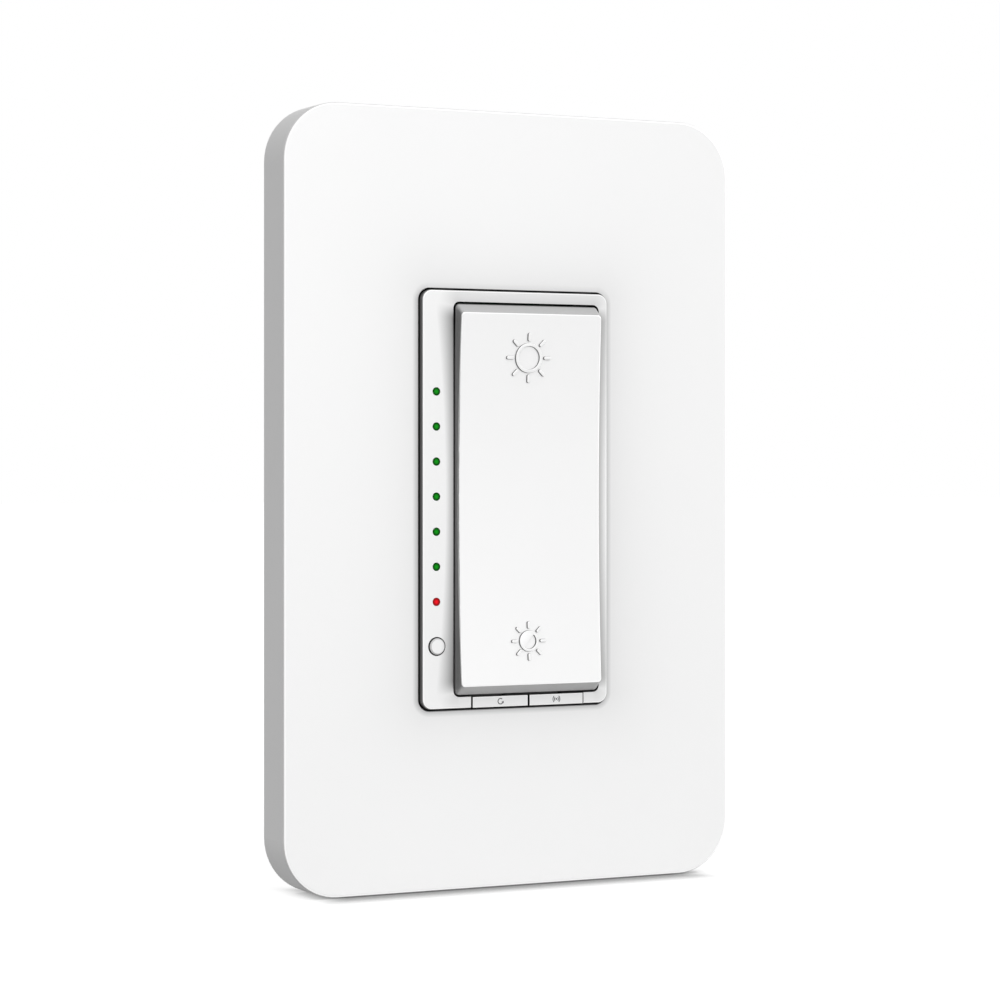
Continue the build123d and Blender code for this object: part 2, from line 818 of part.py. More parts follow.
def make_mounting_screws():
    """Two captive screws, each with a thin neck between its head and its thread."""
    screws = []
    top = yoke_front - wall_screw_head_height
    neck_end = retainer_thickness + touch_clearance
    for x, z in wall_screws:
        head = rod(x, z, wall_screw_head_radius, yoke_front, top)
        head = chamfer(front_edges(head, top), wall_screw_head_chamfer)
        screw = head + rod(x, z, neck_radius, neck_end, yoke_front)
        screw += rod(x, z, six_thirty_two_radius, wall_screw_length, neck_end)
        slot_depth = (top, top + driver_slot_depth)
        screw -= block(span(x, 2 * wall_screw_head_radius), slot_depth, span(z, driver_slot))
        screw -= block(span(x, driver_slot), slot_depth, span(z, 4 * driver_slot))
        screws.append(screw)
    return screws


def make_screw_retainers():
    washer = Rectangle(retainer_width, retainer_width) - Circle(neck_radius + thread_clearance)
    return [slab(Pos(x, z) * washer, retainer_thickness, 0) for x, z in wall_screws]


def make_rear_housing():
    base = Plane((0, 0, 0), x_dir=(1, 0, 0), z_dir=(0, 1, 0))
    outline = base * RectangleRounded(housing_width, housing_height, housing_corner_radius)
    solid = extrude(outline, amount=housing_depth, taper=housing_draft_degrees)
    solid = chamfer(solid.faces().sort_by(Axis.Y)[-1].edges(), housing_back_chamfer)
    inside = RectangleRounded(housing_inside_width, housing_inside_height, housing_inner_radius)
    body = solid - slab(inside, housing_floor, 0)
    for x, z in corner_screws:
        post = rod(x, z, post_outer, housing_depth, 0)
        post += block((x, outward(x) * housing_width / 2), (0, housing_depth), span(z, post_wall))
        body += post & solid
    rib_z = housing_inside_height / 2 - floor_rib_margin
    for end in (-1, 1):
        rib_depth = (power_board_back, housing_floor)
        body += block(span(0, floor_rib_length), rib_depth, span(end * rib_z, floor_rib_wall))
    for side in (-1, 1):
        for end in (-1, 1):
            body = cut_terminal_pocket(body, solid, side, end * terminal_z)
    for x, z in corner_screws:
        body -= rod(x, z, housing_screw_radius + screw_clearance, housing_depth, 0)
        bore = housing_screw_head_radius + screw_clearance
        body -= rod(x, z, bore, housing_depth, housing_depth - post_bore_depth)
    return body


def cut_terminal_pocket(body, solid, side, z):
    """A side pocket for one terminal, with two wire holes and a slot for the plate's tongue."""
    walls = block(
        (side * (pocket_floor - pocket_wall), side * housing_width / 2),
        (pocket_front, housing_depth),
        span(z, pocket_height + 2 * pocket_wall),
    )
    body += walls & solid
    body -= block(
        (side * pocket_floor, side * housing_width),
        (pocket_front + pocket_wall, housing_floor),
        span(z, pocket_height),
    )
    wire_x = side * (plate_face + wire_gap / 2)
    for step in (-1, 1):
        body -= rod(wire_x, z + step * wire_offset, wire_hole_radius, housing_depth, housing_floor)
    tip = side * (pocket_floor - 2 * pocket_wall)
    body -= cross_rod((tip, side * pocket_floor), terminal_y, z, six_thirty_two_radius + screw_clearance)
    tongue_x = (side * pocket_floor, side * (plate_face + board_clearance))
    slot_depth = (power_board_back, pocket_front + pocket_wall)
    return body - block(tongue_x, slot_depth, span(z, tongue_width + 2 * board_clearance))


def make_terminal_plate(side, z):
    plate_x = (side * pocket_floor, side * plate_face)
    body = block(plate_x, span(terminal_y, plate_square), span(z, plate_square))
    body += block(plate_x, (power_board_back, terminal_y), span(z, tongue_width))
    return body - cross_rod(plate_x, terminal_y, z, six_thirty_two_radius + thread_clearance)


def make_terminal_clamp(side, z):
    clamp_x = (side * clamp_face, side * head_face)
    body = block(clamp_x, span(terminal_y, plate_square), span(z, plate_square))
    body = chamfer(body.edges().filter_by(Axis.X), clamp_chamfer)
    return body - cross_rod(clamp_x, terminal_y, z, six_thirty_two_radius + screw_clearance / 2)


def make_terminal_screws():
    screws = []
    for side in (-1, 1):
        for end in (-1, 1):
            z = end * terminal_z
            outer = head_face + terminal_screw_head_height
            screw = cross_rod((side * head_face, side * outer), terminal_y, z, terminal_screw_head_radius)
            tip = head_face - terminal_screw_length
            screw += cross_rod((side * tip, side * head_face), terminal_y, z, six_thirty_two_radius)
            slot_x = (side * (outer - driver_slot_depth), side * outer)
            slot_y = span(terminal_y, 2 * terminal_screw_head_radius)
            screw -= block(slot_x, slot_y, span(z, driver_slot))
            screws.append(screw)
    return screws


def make_ground_screw():
    low = -yoke_body_height / 2
    y = ground_tab_reach / 2
    outer = low - ground_screw_head_height
    head = Cylinder(ground_screw_head_radius, ground_screw_head_height)
    tip = low + yoke_thickness + ground_screw_tip
    shank = Cylinder(ground_screw_radius, tip - low)
    screw = Pos(ground_tab_x, y, (outer + low) / 2) * head + Pos(ground_tab_x, y, (low + tip) / 2) * shank
    slot_x = span(ground_tab_x, 2 * ground_screw_head_radius)
    return screw - block(slot_x, span(y, driver_slot), (outer, outer + driver_slot_depth))


def make_housing_screws():
    screws = []
    head_front = housing_depth - post_bore_depth
    head_back = head_front + housing_screw_head_height
    for x, z in corner_screws:
        screw = rod(x, z, housing_screw_head_radius, head_back, head_front)
        tip = boss_skin + housing_screw_tip_gap - frame_boss_front
        screw += rod(x, z, housing_screw_radius, head_front, tip)
        slot_depth = (head_back - driver_slot_depth, head_back)
        screw -= block(span(x, cross_slot_length), slot_depth, span(z, cross_slot))
        screw -= block(span(x, cross_slot), slot_depth, span(z, cross_slot_length))
        screws.append(screw)
    return screws


def make_power_board():
    width = housing_inside_width - 4 * board_clearance
    height = housing_inside_height - 4 * board_clearance
    outline = Rectangle(width, height)
    for x, z in corner_screws:
        outline -= Pos(x, z) * Circle(post_outer + slot_clearance)
        web = abs(outward(x) * housing_width / 2 - x)
        web_cut = Rectangle(web, post_wall + 2 * slot_clearance)
        outline -= Pos(x + outward(x) * web / 2, z) * web_cut
    board = slab(outline, power_board_back, power_board_front)
    return [max(board.solids(), key=lambda solid: solid.volume)]


def make_link_header():
    """A strip of square pins that runs from the control board through the yoke to the power board."""
    body = slab(link_slot(0), link_strip_back, insulator_front)
    for step in range(link_count):
        x = link_pitch * (step - (link_count - 1) / 2)
        body += block(span(x, link_pin), (insulator_front, power_board_front), span(link_z, link_pin))
    return body


def make_transistor(side):
    """A power transistor with a metal tab, and three legs that bend back to the power board."""
    x = side * transistor_x
    body_z = (transistor_low, transistor_body_top)
    body = block(span(x, transistor_width), (0, transistor_thickness), body_z)
    body = chamfer(body.edges().filter_by(Axis.X).sort_by(Axis.Y)[-2:], transistor_chamfer)
    tab = block(span(x, transistor_width), (0, transistor_tab), (transistor_body_top, transistor_top))
    hole_radius = transistor_screw_radius + screw_clearance
    body += tab - rod(x, transistor_screw_z, hole_radius, transistor_tab, 0)
    leg_end = transistor_low - leg_drop
    for step in (-1, 0, 1):
        leg_x = span(x + leg_pitch * step, leg_width)
        body += block(leg_x, (leg_y, leg_y + leg_metal), (leg_end, transistor_low))
        body += block(leg_x, (leg_y, power_board_front), (leg_end, leg_end + leg_metal))
    return body


def make_transistor_screws():
    screws = []
    back = transistor_tab + transistor_screw_head_height
    for x, z in transistor_screws:
        screw = rod(x, z, transistor_screw_head_radius, back, transistor_tab)
        screw = chamfer(front_edges(screw, back), transistor_screw_chamfer)
        screw += rod(x, z, transistor_screw_radius, transistor_tab, yoke_front + board_clearance)
        screws.append(screw)
    return screws


def make_film_capacitor():
    film_depth = (power_board_front - film_height, power_board_front)
    body = block((film_left, film_right), film_depth, (film_top - film_length, film_top))
    return fillet(body.edges().filter_by(Axis.Y), film_edge_radius)


def make_storage_capacitor():
    """A round can with a rolled groove near its foot."""
    top = power_board_front - can_height
    body = rod(0, can_z, can_radius, power_board_front, top)
    body = chamfer(front_edges(body, top), can_chamfer)
    groove_back = power_board_front - can_groove_height
    groove_front = groove_back - can_groove_width
    groove = Circle(can_radius + can_groove_depth) - Circle(can_radius - can_groove_depth)
    return body - slab(Pos(0, can_z) * groove, groove_back, groove_front)


def make_choke_core():
    core = Pos(choke_x, choke_z) * (Circle(choke_outer) - Circle(choke_inner))
    return slab(core, choke_back, choke_front)


def make_choke_winding():
    """The wound sleeve round the core, open on the side that its two ends leave from."""
    outline = Circle(choke_outer + choke_wire) - Circle(choke_inner - choke_wire)
    body = slab(Pos(choke_x, choke_z) * outline, choke_back + choke_wire, choke_front - choke_wire)
    body -= make_choke_core()
    open_x = (choke_x, choke_x + 2 * choke_outer)
    open_depth = (choke_front - 2 * choke_wire, choke_back + 2 * choke_wire)
    return body - block(open_x, open_depth, span(choke_z, choke_open))


def make_fuse():
    """A glass fuse between two metal caps, lying on the board."""
    y = power_board_front - fuse_cap_radius
    left, right = span(transistor_x, fuse_length)
    body = cross_rod((left, right), y, fuse_z, fuse_radius)
    body += cross_rod((left, left + fuse_cap_length), y, fuse_z, fuse_cap_radius)
    return body + cross_rod((right - fuse_cap_length, right), y, fuse_z, fuse_cap_radius)


def make_surge_disc():
    """A dipped disc that stands on two leads."""
    y = power_board_front - disc_height
    body = cross_rod((disc_left, disc_right), y, disc_z, disc_radius)
    body = chamfer(body.edges().filter_by(GeomType.CIRCLE), disc_chamfer)
    lead_x = span((disc_left + disc_right) / 2, disc_lead)
    for side in (-1, 1):
        lead_z = span(disc_z + side * disc_lead_pitch / 2, disc_lead)
        body += block(lead_x, (y + disc_radius / 2, power_board_front), lead_z)
    return body


def write(name, made):
    """Write one sub-part, a solid or a list of solids that share a node."""
    shape = Compound(children=[piece for piece in made]) if isinstance(made, list) else made
    export_step(shape, f"parts/{name}.step")


os.makedirs("parts", exist_ok=True)
write("wall_plate", make_wall_plate())
write("mounting_frame", make_mounting_frame())
write("plate_screws", make_plate_screws())
write("front_frame", make_front_frame())
write("rocker", make_rocker())
write("rocker_spring", make_rocker_spring())
write("round_button", make_round_button())
write("reset_key", make_key(keys_left + key_slit, keys_split - key_slit / 2, reset_key_x))
write("pair_key", make_key(keys_split + key_slit / 2, keys_right - key_clearance, pair_key_x))
for number, z in enumerate(pipe_places(), 1):
    write(f"light_pipe_{number}", make_light_pipe(z))
write("indicator_leds", make_indicator_leds())
for name, (x, z, width) in switches.items():
    write(f"{name}_switch", make_switch(x, z, width))
    write(f"{name}_plunger", make_plunger(x, z))
write("control_board", make_control_board())
write("insulator_sheet", make_insulator_sheet())
write("radio_module", make_radio_module())
write("radio_shield", make_radio_shield())
write("control_chip", make_control_chip())
write("yoke", make_yoke())
write("mounting_screws", make_mounting_screws())
write("screw_retainers", make_screw_retainers())
write("rear_housing", make_rear_housing())
write("housing_screws", make_housing_screws())
write("power_board", make_power_board())
write("link_header", make_link_header())
write("left_transistor", make_transistor(-1))
write("right_transistor", make_transistor(1))
write("transistor_screws", make_transistor_screws())
write("film_capacitor", make_film_capacitor())
write("storage_capacitor", make_storage_capacitor())
write("choke_core", make_choke_core())
write("choke_winding", make_choke_winding())
write("fuse", make_fuse())
write("surge_disc", make_surge_disc())
for side, side_name in ((-1, "left"), (1, "right")):
    for end, end_name in ((1, "upper"), (-1, "lower")):
        corner = f"{end_name}_{side_name}"
        write(f"terminal_plate_{corner}", make_terminal_plate(side, end * terminal_z))
        write(f"terminal_clamp_{corner}", make_terminal_clamp(side, end * terminal_z))
write("terminal_screws", make_terminal_screws())
write("ground_screw", make_ground_screw())
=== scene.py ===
import json
from math import cos, pi, radians, sin, sqrt, tau

import bmesh
import bpy
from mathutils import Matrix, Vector


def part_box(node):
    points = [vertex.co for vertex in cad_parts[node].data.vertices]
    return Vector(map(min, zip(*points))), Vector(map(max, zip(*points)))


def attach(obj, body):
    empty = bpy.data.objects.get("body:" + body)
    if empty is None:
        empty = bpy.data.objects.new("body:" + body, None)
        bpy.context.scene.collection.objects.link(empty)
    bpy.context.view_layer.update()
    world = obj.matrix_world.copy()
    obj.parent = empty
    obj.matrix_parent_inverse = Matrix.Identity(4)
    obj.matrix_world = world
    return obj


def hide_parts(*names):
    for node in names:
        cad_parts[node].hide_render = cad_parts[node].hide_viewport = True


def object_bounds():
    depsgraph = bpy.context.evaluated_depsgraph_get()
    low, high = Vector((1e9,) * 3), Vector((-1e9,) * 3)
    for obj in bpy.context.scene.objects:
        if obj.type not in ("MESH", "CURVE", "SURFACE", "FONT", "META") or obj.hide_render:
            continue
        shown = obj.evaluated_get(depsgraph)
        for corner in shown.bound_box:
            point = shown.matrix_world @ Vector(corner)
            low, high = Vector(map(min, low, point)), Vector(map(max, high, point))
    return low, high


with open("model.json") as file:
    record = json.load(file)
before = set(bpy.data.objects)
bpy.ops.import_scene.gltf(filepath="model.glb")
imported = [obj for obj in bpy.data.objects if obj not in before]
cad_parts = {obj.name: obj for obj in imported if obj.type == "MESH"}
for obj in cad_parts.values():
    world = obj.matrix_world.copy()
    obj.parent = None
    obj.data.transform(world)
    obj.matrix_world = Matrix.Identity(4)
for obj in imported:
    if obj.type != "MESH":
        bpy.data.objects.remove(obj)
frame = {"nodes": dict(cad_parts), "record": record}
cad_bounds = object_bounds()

# A wall dimmer switch with a screwless cover plate, dressed for the picture.
# Sizes are in millimetres and turned into metres by mm. Angles are in degrees.
mm = 0.001

# Camera, fitted to the plate's corners in the photograph; what it sees lies between near and far, in metres
camera_place = (-213.04, -430.16, 6.18)
camera_turn = -26.515
camera_focal = 106.35
camera_sensor = 36.0
camera_drop = -0.0397
camera_near = 0.01
camera_far = 50.0

# Light
sky_for_surfaces = 0.54
key_power = 49.0
key_size = 1000.0
key_distance = 3000.0
key_turn = 12.0
key_height = 10.0

# Floor: its soft shadow and darker contact line, each with its reach and the range of open sky in which it
# fades; the half width at which the shadow ends; the light in it and what the open floor adds; and two greys
floor_half_width = 4000.0
floor_shadow_reach = 11.0
floor_shadow_range = (0.6, 0.9)
floor_contact_reach = 1.0
floor_contact_range = (0.5, 1.0)
floor_shadow_half = 37.0
floor_shadow_fade = 8.0
floor_shadow_light = 0.05
floor_added_light = 0.8
floor_contact_grey = (0.12, 0.12, 0.12)
floor_open_grey = (0.40, 0.40, 0.40)
floor_bounce = (0.4, 0.4, 0.4)

# Places on the front
frame_corner = 1.6
column_width = 5.35
right_bar = 1.55
end_bar = 1.8
opening_corner = 1.05
pipe_radius = 0.63
pipe_count = 7
plate_depth = 8.0
rocker_end_rise = 2.2
rocker_middle_rise = 1.0
rocker_bevel = 1.45

# Soft shading beside a wall. The darks are the light left at its foot, on the left, right, lower and upper
# side. It reaches some millimetres on the cover, and some wall heights on the frame.
cover_darks = (0.40, 0.54, 0.50, 0.84)
cover_reach = 1.3
frame_darks = (0.42, 0.47, 0.81, 0.68)
frame_end_dark = 0.17
frame_reach = 1.35
frame_fade_before = 1.0
frame_fade_after = 0.6

# A wider shade on the cover: what it takes away on those sides, and what each millimetre leaves of it
cover_far_darks = (0.12, 0.17, 0.11, 0.16)
cover_far_rate = 0.83

# Gaps: the light in them, the depths at which it falls off, and how far from an outline they end
gap_dark = 0.03
gap_depths = (0.05, 0.4)
cover_gap_end = (0.4, 0.6)
frame_gap_end = (0.2, 0.4)
slit_depth = 0.2
# The cover's edge beside the gap, in painted shade: its light, where the shade ends, and how much further out
# it reaches on the lower side
cover_edge_dark = 0.08
cover_edge_end = (0.27, 0.42)
cover_edge_lower = 0.08

# Shading by the way a surface faces, from sideways at 0 to straight at the room at 1
side_stops = [(0.0, 0.22), (0.35, 0.25), (0.56, 0.62), (0.70, 0.76), (0.80, 1.0), (1.0, 1.0)]
right_side_light = 0.6
right_side_turn = (0.0, 0.5)
frame_underside_shade = 0.08
cover_underside_shade = 0.31
cover_top_share = 0.25
cover_left_shade = 0.14
cover_left_turn = (-0.45, -0.15)
cover_left_front = (0.2, 0.6)

# The rocker's painted shade: its left edge is shaded at mid height, and its side walls are painted lighter at
# the foot.
# Its painted shade in the gap begins further forward at its upper end and further back at its lower end.
rocker_left_shade = 0.85
rocker_left_turn = (-0.4, -0.2)
rocker_left_front = (0.6, 0.8)
rocker_left_zone = (5.0, 28.0)
rocker_foot_light = 0.9
rocker_foot_far = 0.9
rocker_foot_near = 0.1
rocker_wall_front = (0.2, 0.5)
rocker_upper_shift = 0.33
rocker_lower_shift = 0.25
rocker_end_zone = (20.0, 30.0)

# Painted highlight, as emission, on rounded front edges
painted_edge_highlight = 0.35
highlight_start = (0.72, 0.84)
highlight_end = (0.95, 0.985)
highlight_soft = 0.1
highlight_all_round = -2.0

# Raised brightness signs on the rocker
sign_height = 0.34
sign_edge = 0.13
sign_sink = 0.12
sign_side_dark = 0.25
sign_front = (0.45, 1.0)
sign_x = 1.3
large_sign_z = 22.5
large_sign_outer = 2.40
large_sign_inner = 1.84
large_ray_start = 2.62
large_ray_end = 4.0
large_ray_width = 0.56
small_sign_z = -22.6
small_sign_outer = 1.70
small_sign_inner = 1.24
small_sign_turn = 49.0
small_ray_start = 1.94
small_ray_end = 3.12
small_ray_width = 0.50
ray_count = 8

# Small grey marks on the keys
mark_height = 0.02
mark_edge = 0.005
mark_sink = 0.02
mark_grey = (0.09, 0.09, 0.095)
arrow_radius = 0.44
arrow_width = 0.15
arrow_start = 50
arrow_end = 325
arrow_head = 0.24
arrow_point = 1.5
dot_radius = 0.15
wave_radii = (0.36, 0.62)
wave_width = 0.14
wave_half_angle = 48

# Screws, whose thread is 32 to the inch; a head is a row of depths behind its front, each with its radius
thread_pitch = 0.794
thread_depth = 0.40
thread_steps = 6
thread_slope = 1.3
thread_land = 0.15
screw_sides = 32
screw_radius = 1.75
pan_head = ((0.0, 2.6), (0.25, 2.98), (0.6, 3.2), (2.0, 3.2), (2.0, 1.45), (3.95, 1.45))
pan_thread_start = 3.95
flat_head = ((0.0, 3.0), (1.44, 1.75))
flat_thread_start = 1.9
driver_slot = 1.0
driver_depth = 0.9
slot_half_length = 4
cross_half_length = 2

# Meshes: where an edge counts as sharp, and how close two points are one
sharp_angle = 35
sign_sharp_angle = 40
weld_distance = 0.00002

# Tones, as linear values
cover_white = (0.93, 0.93, 0.93)
frame_white = (0.895, 0.895, 0.895)
tinned_copper = (0.62, 0.62, 0.60)
green_lens = (0.0035, 0.32, 0.0075)
green_rim = (0.0005, 0.07, 0.002)
red_lens = (0.97, 0.008, 0.018)
red_rim = (0.30, 0.006, 0.008)

# A lit lens: where its rim's tone begins and is full, in shares of its radius, and how it reflects and glows
lens_core = 0.1
lens_edge = 0.85
lens_reflection = 0.55
lens_glow = 0.5


class Link:
    """An output in a node tree; an expression on values adds its Math nodes."""

    def __init__(self, finish, socket):
        self.finish = finish
        self.socket = socket

    def out(self, name):
        """Another output of the same node."""
        return Link(self.finish, self.socket.node.outputs[name])

    def apply(self, operation, first, second):
        if "VECTOR" in (getattr(first, "kind", ""), getattr(second, "kind", "")):
            terms = [as_vector(term) for term in (first, second)]
            return self.finish.add("ShaderNodeVectorMath", {"operation": operation}, dict(enumerate(terms)))
        return self.finish.add("ShaderNodeMath", {"operation": operation}, {0: first, 1: second})

    @property
    def kind(self):
        return self.socket.type

    def __add__(self, other):
        return self.apply("ADD", self, other)

    def __radd__(self, other):
        return self.apply("ADD", other, self)

    def __sub__(self, other):
        return self.apply("SUBTRACT", self, other)

    def __rsub__(self, other):
        return self.apply("SUBTRACT", other, self)

    def __mul__(self, other):
        return self.apply("MULTIPLY", self, other)

    def __rmul__(self, other):
        return self.apply("MULTIPLY", other, self)

    def __truediv__(self, other):
        return self.apply("DIVIDE", self, other)

    def least(self, other):
        return self.apply("MINIMUM", self, other)

    def most(self, other):
        return self.apply("MAXIMUM", self, other)

    def size(self):
        return self.finish.add("ShaderNodeMath", {"operation": "ABSOLUTE"}, {0: self})

    def root(self):
        return self.finish.add("ShaderNodeMath", {"operation": "SQRT"}, {0: self})

    def rise(self, low, high, kind="SMOOTHSTEP"):
        """0 below low, 1 above high, and in between smooth or straight."""
        sockets = {"Value": self, "From Min": low, "From Max": high}
        return self.finish.add("ShaderNodeMapRange", {"interpolation_type": kind}, sockets)

    def fall(self, low, high):
        """1 below low, 0 above high, smooth in between."""
        return 1 - self.rise(low, high)


def as_vector(term):
    return term if isinstance(term, (Link, tuple)) else (term, term, term)


class Finish:
    """A material, or the world, whose nodes are added one by one."""

    def __init__(self, owner):
        owner.use_nodes = True
        self.owner = owner
        self.tree = owner.node_tree
        self.tree.nodes.clear()

    def add(self, kind, settings=None, sockets=None, output=0):
        """Adds a node of this type: first its settings, then the values or links of its sockets."""
        node = self.tree.nodes.new(kind)
        for name, value in (settings or {}).items():
            if name == "stops":
                set_stops(node.color_ramp, value)
            else:
                setattr(node, name, value)
        for name, value in (sockets or {}).items():
            if isinstance(value, Link):
                self.tree.links.new(value.socket, node.inputs[name])
            elif node.inputs[name].type == "RGBA":
                node.inputs[name].default_value = (*value, 1.0)
            else:
                node.inputs[name].default_value = value
        return Link(self, node.outputs[output]) if len(node.outputs) else None

    def place(self):
        """The point on the object in millimetres, which stays on the piece when it moves."""
        return self.add("ShaderNodeTexCoord", output="Object") * (1 / mm)

    def facing(self):
        """The way the surface faces, in the piece's own axes."""
        return self.add("ShaderNodeTexCoord", output="Normal")

    def parts(self, vector):
        """The X, Y and Z of a vector."""
        split = self.add("ShaderNodeSeparateXYZ", None, {0: vector})
        return split, split.out("Y"), split.out("Z")

    def noise(self, place, size, detail=2.0, roughness=0.5):
        """Cloudy values between 0 and 1, with features of a size in millimetres."""
        sockets = {"Vector": place, "Scale": 1 / size, "Detail": detail, "Roughness": roughness}
        return self.add("ShaderNodeTexNoise", None, sockets)

    def blend(self, share, first, second):
        """From the first colour to the second by a share from 0 to 1."""
        return self.add("ShaderNodeMix", {"data_type": "RGBA"}, {0: share, 6: first, 7: second}, output=2)

    def relief(self, height, depth):
        """A surface normal from a height that varies from 0 to 1, with a depth in millimetres."""
        return self.add("ShaderNodeBump", None, {"Height": height, "Distance": depth * mm, "Strength": 1.0})

    def surface(self, sockets):
        """Ends the material in a Principled shader."""
        shader = self.add("ShaderNodeBsdfPrincipled", None, sockets)
        self.add("ShaderNodeOutputMaterial", None, {"Surface": shader})
        return self.owner


def set_stops(ramp, stops):
    while len(ramp.elements) > 1:
        ramp.elements.remove(ramp.elements[-1])
    for number, (position, colour) in enumerate(stops):
        element = ramp.elements[0] if number == 0 else ramp.elements.new(position)
        element.position = position
        element.color = (*colour, 1.0)


def new_finish(name):
    return Finish(bpy.data.materials.new(name))


def times(colour, share):
    return tuple(share * part for part in colour)


# Finishes

def between(dark, share):
    """Light that is dark where share is 0 and full where it is 1."""
    return dark + (1.0 - dark) * share


def box_distance(x, z, low, high, corner):
    """How far a point lies outside a rectangle with round corners, in X and Z."""
    across = (x - (low.x + high.x) / 2).size() - ((high.x - low.x) / 2 - corner)
    up = (z - (low.z + high.z) / 2).size() - ((high.z - low.z) / 2 - corner)
    outside_x = across.most(0.0)
    outside_z = up.most(0.0)
    return (outside_x * outside_x + outside_z * outside_z).root() + across.most(up).least(0.0) - corner


def sides_of(x, z, low, high, corner):
    """Shares of the left, right, lower and upper side in the way out from a rectangle to a point."""
    ways = [low.x + corner - x, x - (high.x - corner), low.z + corner - z, z - (high.z - corner)]
    ways = [way.most(0.0) for way in ways]
    total = (ways[0] + ways[1] + ways[2] + ways[3]).most(0.001)
    return [way / total for way in ways]


def weighed(shares, values):
    """The sum of some values, each times its share."""
    terms = [share * value for share, value in zip(shares, values)]
    return terms[0] + terms[1] + terms[2] + terms[3]


def beside_wall(distance, reach, dark):
    """Light left beside a wall, from its foot to where its shade ends."""
    return between(dark, (distance / reach).least(1.0).most(0.0))


def out_of_gap(y, face):
    """Painted shade below the level of a face, in the narrow gap beside it."""
    return between(gap_dark, y.fall(face + gap_depths[0], face + gap_depths[1]))


def on_left_edge(across, along, turn, front):
    """1 where a surface turns left and still faces the room, and 0 elsewhere."""
    return across.fall(*turn) * (0.0 - along).rise(*front)


def light_on_cover(finish, place):
    """The cover plate is shaded round the front frame and where it turns up, down or left."""
    x, y, z = finish.parts(place)
    away = box_distance(x, z, frame_low, frame_high, frame_corner)
    sides = sides_of(x, z, frame_low, frame_high, frame_corner)
    near = beside_wall(away, cover_reach, weighed(sides, cover_darks))
    fading = finish.add("ShaderNodeMath", {"operation": "POWER"}, {0: cover_far_rate, 1: away})
    far = 1.0 - weighed(sides, cover_far_darks) * fading
    edge = between(cover_edge_dark, (away - cover_edge_lower * sides[2]).rise(*cover_edge_end))
    gap = out_of_gap(y, -plate_depth).most(away.rise(*cover_gap_end)) * edge
    across, along, up = finish.parts(finish.facing())
    turned_away = 1.0 - cover_underside_shade * (0.0 - up).most(cover_top_share * up)
    left_edge = on_left_edge(across, along, cover_left_turn, cover_left_front)
    return near * far * gap * turned_away * (1.0 - cover_left_shade * left_edge)


def beside_rocker(x, z):
    """Distance from the rocker's opening, and the light left on the front frame beside the rocker."""
    away = box_distance(x, z, opening_low, opening_high, opening_corner)
    share = z * (1 / face_end)
    square = (share * share).least(1.0)
    wall = rocker_middle_rise + (rocker_end_rise - rocker_middle_rise) * square
    sides = sides_of(x, z, opening_low, opening_high, opening_corner)
    full = z.size().fall(face_end - frame_fade_before, opening_high.z + frame_fade_after)
    dark = weighed(sides, frame_darks) - frame_end_dark * square * (sides[0] + sides[1])
    return away, 1.0 - (1.0 - beside_wall(away, wall * frame_reach, dark)) * full.most(sides[2] + sides[3])


def light_by_facing(finish):
    """A surface that turns away from the room is shaded, least of all towards the right."""
    x, y, z = finish.parts(finish.facing())
    stops = [(position, (share, share, share)) for position, share in side_stops]
    shade = finish.add("ShaderNodeValToRGB", {"stops": stops}, {"Fac": 0.0 - y})
    underside = 1.0 - frame_underside_shade * (0.0 - z).most(0.0)
    return shade.most(right_side_light * x.rise(*right_side_turn)) * underside


def light_on_frame(finish, place):
    """The front frame is shaded beside the rocker, most of all on the left, and on its own sides."""
    x, y, z = finish.parts(place)
    away, light = beside_rocker(x, z)
    gap = out_of_gap(y, frame_front).most(away.rise(*frame_gap_end)) * out_of_gap(y, -plate_depth)
    return light * light_by_facing(finish) * gap


def light_on_key(finish, place):
    """The round button and the keys are shaded as the front frame is, and dark in the slits round them."""
    x, y, z = finish.parts(place)
    light = beside_rocker(x, z)[1]
    return light * light_by_facing(finish) * between(gap_dark, y.fall(frame_front, frame_front + slit_depth))


def light_on_rocker(finish, place):
    """The rocker's painted shade: dark where it goes down into the frame, and grey on its side walls and its
    left edge.
    """
    y, z = finish.parts(place)[1:]
    across, along = finish.parts(finish.facing())[:2]
    foot = y.rise(frame_front - rocker_foot_far, frame_front - rocker_foot_near)
    foot = foot * (0.0 - along).fall(*rocker_wall_front)
    start, end = rocker_end_zone
    shifted = y + rocker_upper_shift * z.rise(start, end) - rocker_lower_shift * z.fall(-end, -start)
    gap = out_of_gap(shifted, frame_front)
    left_edge = on_left_edge(across, along, rocker_left_turn, rocker_left_front)
    left_edge = left_edge * z.size().fall(*rocker_left_zone)
    light = light_by_facing(finish) * gap * (1.0 + rocker_foot_light * foot)
    return light * (1.0 - rocker_left_shade * left_edge)


def light_on_sign(finish, place):
    """A raised sign is shaded on its rounded edges and sides, wherever it stands."""
    front = 0.0 - finish.parts(finish.facing())[1]
    return between(sign_side_dark, front.rise(*sign_front, "LINEAR"))


def painted_highlight_on_edge(finish, left):
    """1 on a rounded front edge, where a highlight is painted, and 0 where it turns further left than left.
    """
    x, y = finish.parts(finish.facing())[:2]
    front = 0.0 - y
    return front.rise(*highlight_start) * front.fall(*highlight_end) * x.rise(left - highlight_soft, left + highlight_soft)


